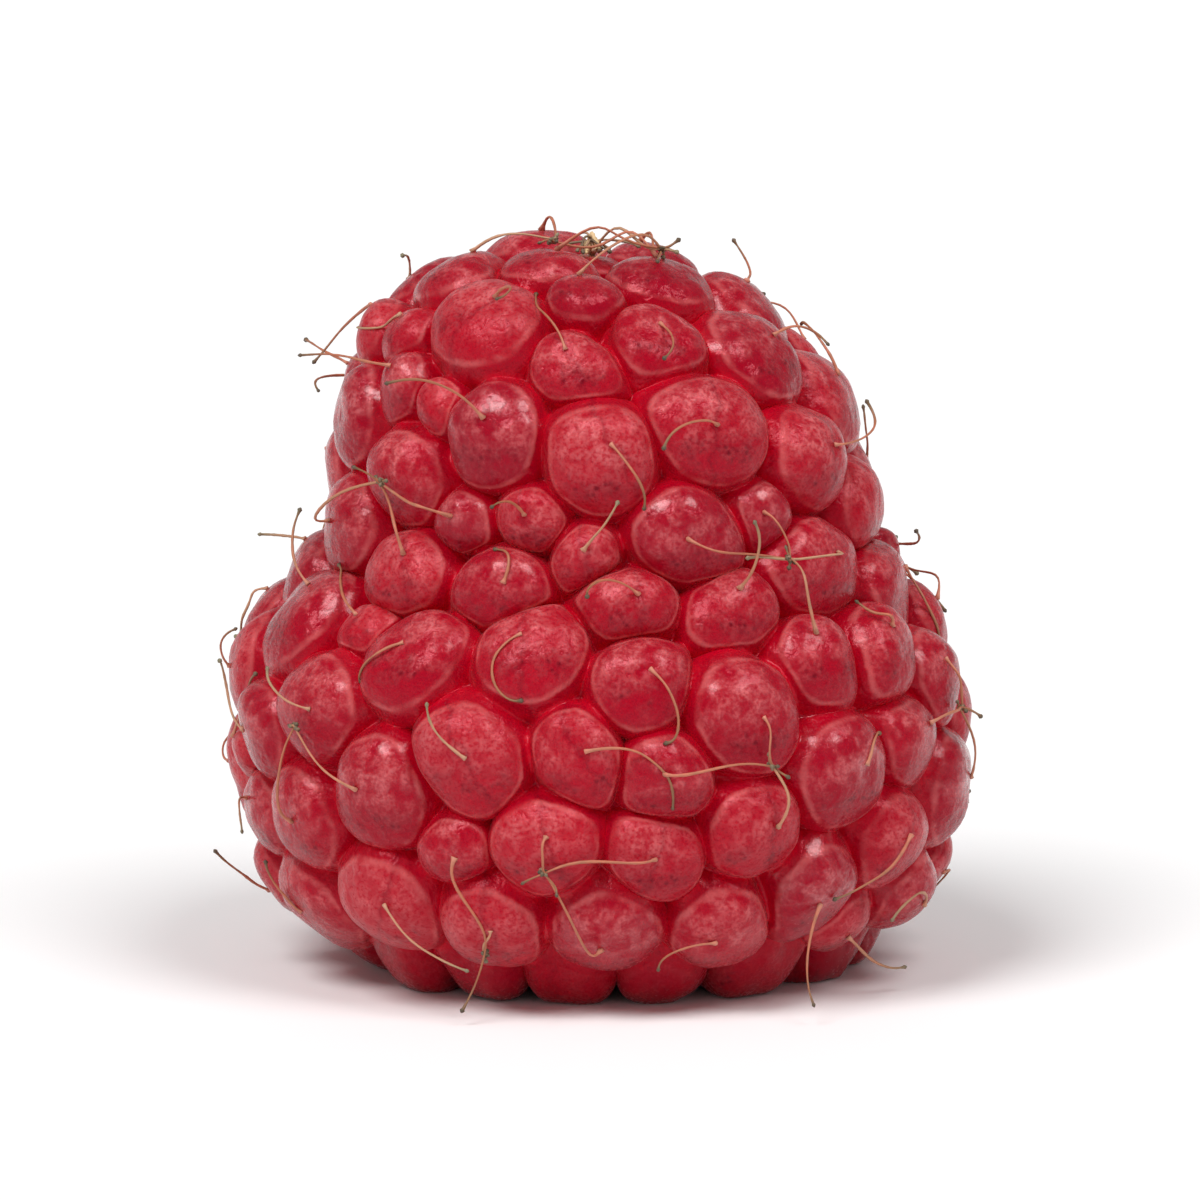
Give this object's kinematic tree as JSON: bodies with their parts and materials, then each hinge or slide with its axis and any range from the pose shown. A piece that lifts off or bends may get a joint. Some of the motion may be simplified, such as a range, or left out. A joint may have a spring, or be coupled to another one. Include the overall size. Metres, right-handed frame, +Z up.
{
  "type": "raspberry",
  "caption": "Picked raspberry: drupelets grown together into one thimble-shaped fruit round an open, empty hollow.",
  "frame": {"origin": "on the surface that the berry stands on, under the middle of its outline", "axes": "+Z up through the tip, +X to the right and +Y away as seen from the front, where the step in its outline is on the left"},
  "size_m": [0.0222, 0.0212, 0.0217],
  "materials": {
    "skin": "satin"
  },
  "bodies": {
    "root": {"berry": "skin"}
  },
  "joints": []
}
